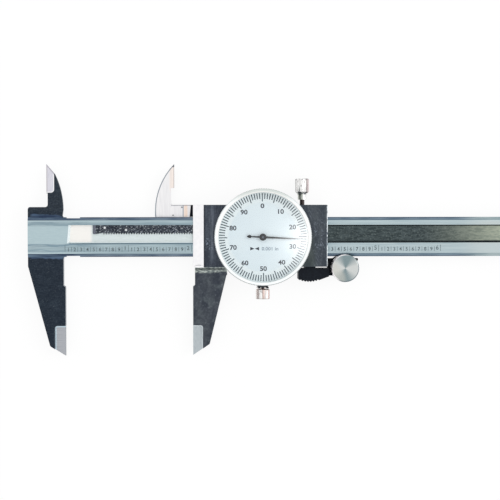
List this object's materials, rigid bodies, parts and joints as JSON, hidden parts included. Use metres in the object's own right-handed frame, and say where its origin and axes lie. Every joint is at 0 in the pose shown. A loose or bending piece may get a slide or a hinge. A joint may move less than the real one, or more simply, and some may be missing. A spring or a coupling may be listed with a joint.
{
  "type": "dial caliper",
  "caption": "Six-inch dial caliper with outside jaws, inside jaws, depth rod, lock screws and a thumb roller.",
  "frame": {"origin": "middle of the slider's back cover, on its outer face, under the dial's centre", "axes": "+X along the beam in the direction the jaws open, +Y towards the inside jaws, +Z out of the dial"},
  "size_m": [0.2875, 0.0775, 0.0156],
  "materials": {
    "beam_steel": "ground satin",
    "slider_steel": "ground, dark",
    "rack_steel": "as cut",
    "rod_steel": "ground satin",
    "nickel": "bright, turned",
    "brass": "machined",
    "gear_steel": "machined",
    "screw_steel": "satin",
    "dial_paint": "matt white",
    "needle_paint": "satin black",
    "bezel_plastic": "gloss",
    "crystal_glass": "clear",
    "black_plastic": "satin black"
  },
  "bodies": {
    "beam": {"beam": "beam_steel", "rack": "rack_steel", "rack_screw_1": "nickel", "rack_screw_2": "nickel", "rack_screw_3": "nickel", "rack_screw_4": "nickel", "end_plate": "screw_steel", "end_plate_screw_1": "screw_steel", "end_plate_screw_2": "screw_steel"},
    "slider": {"slider_frame": "slider_steel", "back_cover": "screw_steel", "cover_screw_1": "screw_steel", "cover_screw_2": "screw_steel", "cover_screw_3": "screw_steel", "cover_screw_4": "screw_steel", "gib": "brass", "gib_screw_1": "screw_steel", "gib_screw_2": "screw_steel", "depth_rod": "rod_steel", "rod_screw_1": "screw_steel", "rod_screw_2": "screw_steel", "gear_bush_lower": "brass", "centre_bush_lower": "brass", "gear_bush_upper": "brass", "centre_bush_upper": "brass", "bridge_plate": "gear_steel", "bridge_post_1": "gear_steel", "bridge_post_2": "gear_steel", "bridge_post_3": "gear_steel", "bridge_screw_1": "screw_steel", "bridge_screw_2": "screw_steel", "bridge_screw_3": "screw_steel", "dial_case": "slider_steel", "case_screw_1": "screw_steel", "case_screw_2": "screw_steel", "case_screw_3": "screw_steel", "case_screw_4": "screw_steel", "bezel_spring": "gear_steel", "thumb_grip": "black_plastic", "grip_screw_1": "screw_steel", "grip_screw_2": "screw_steel", "roller_axle": "screw_steel"},
    "gear": {"rack_pinion": "gear_steel", "drive_gear": "brass", "takeup_gear": "brass", "takeup_spring": "gear_steel"},
    "needle": {"centre_pinion": "gear_steel", "needle": "needle_paint"},
    "bezel": {"bezel": "bezel_plastic", "crystal": "crystal_glass", "dial_face": "dial_paint"},
    "bezel_shoe": {"bezel_shoe": "brass"},
    "bezel_screw": {"bezel_lock_screw": "nickel"},
    "lock_pad": {"lock_pad": "brass"},
    "lock_screw": {"slide_lock_screw": "nickel"},
    "roller": {"roller_wheel": "black_plastic", "roller_knob": "nickel"}
  },
  "joints": [
    {"name": "slider_slide", "type": "slide", "parent": "beam", "child": "slider", "axis": [1, 0, 0], "range_m": [-0.05144, 0.10094]},
    {"name": "gear_turn", "type": "hinge", "parent": "slider", "child": "gear", "pos_m": [-0.00749, -0.00028, 0.009], "axis": [0, 0, 1], "range_deg": [-1823, 3577]},
    {"name": "needle_turn", "type": "hinge", "parent": "slider", "child": "needle", "pos_m": [0, 0, 0.01], "axis": [0, 0, 1], "range_deg": [-14308, 7292]},
    {"name": "bezel_turn", "type": "hinge", "parent": "slider", "child": "bezel", "pos_m": [0, 0, 0.012], "axis": [0, 0, 1], "continuous": true},
    {"name": "bezel_lock_press", "type": "slide", "parent": "slider", "child": "bezel_shoe", "axis": [0, 1, 0], "range_m": [-0.00004, 0.00024]},
    {"name": "bezel_lock_turn", "type": "hinge", "parent": "bezel_shoe", "child": "bezel_screw", "pos_m": [0, -0.02, 0.0116], "axis": [0, 1, 0], "range_deg": [-33, 193]},
    {"name": "slide_lock_press", "type": "slide", "parent": "slider", "child": "lock_pad", "axis": [0, -1, 0], "range_m": [-0.0004, 0.00009]},
    {"name": "slide_lock_turn", "type": "hinge", "parent": "lock_pad", "child": "lock_screw", "pos_m": [0.0165, 0.015, 0.0036], "axis": [0, -1, 0], "range_deg": [-321, 73]},
    {"name": "roller_turn", "type": "hinge", "parent": "slider", "child": "roller", "pos_m": [0.0336, -0.0127, 0.005], "axis": [0, 0, 1], "range_deg": [-634, 1244]}
  ],
  "couplings": [
    {"joint": "gear_turn", "follows": "slider_slide", "rad_per_m": 618.42},
    {"joint": "needle_turn", "follows": "slider_slide", "rad_per_m": -2473.7},
    {"joint": "roller_turn", "follows": "slider_slide", "rad_per_m": 215.05},
    {"joint": "bezel_lock_turn", "follows": "bezel_lock_press", "rad_per_m": 13963},
    {"joint": "slide_lock_turn", "follows": "slide_lock_press", "rad_per_m": 13963}
  ]
}
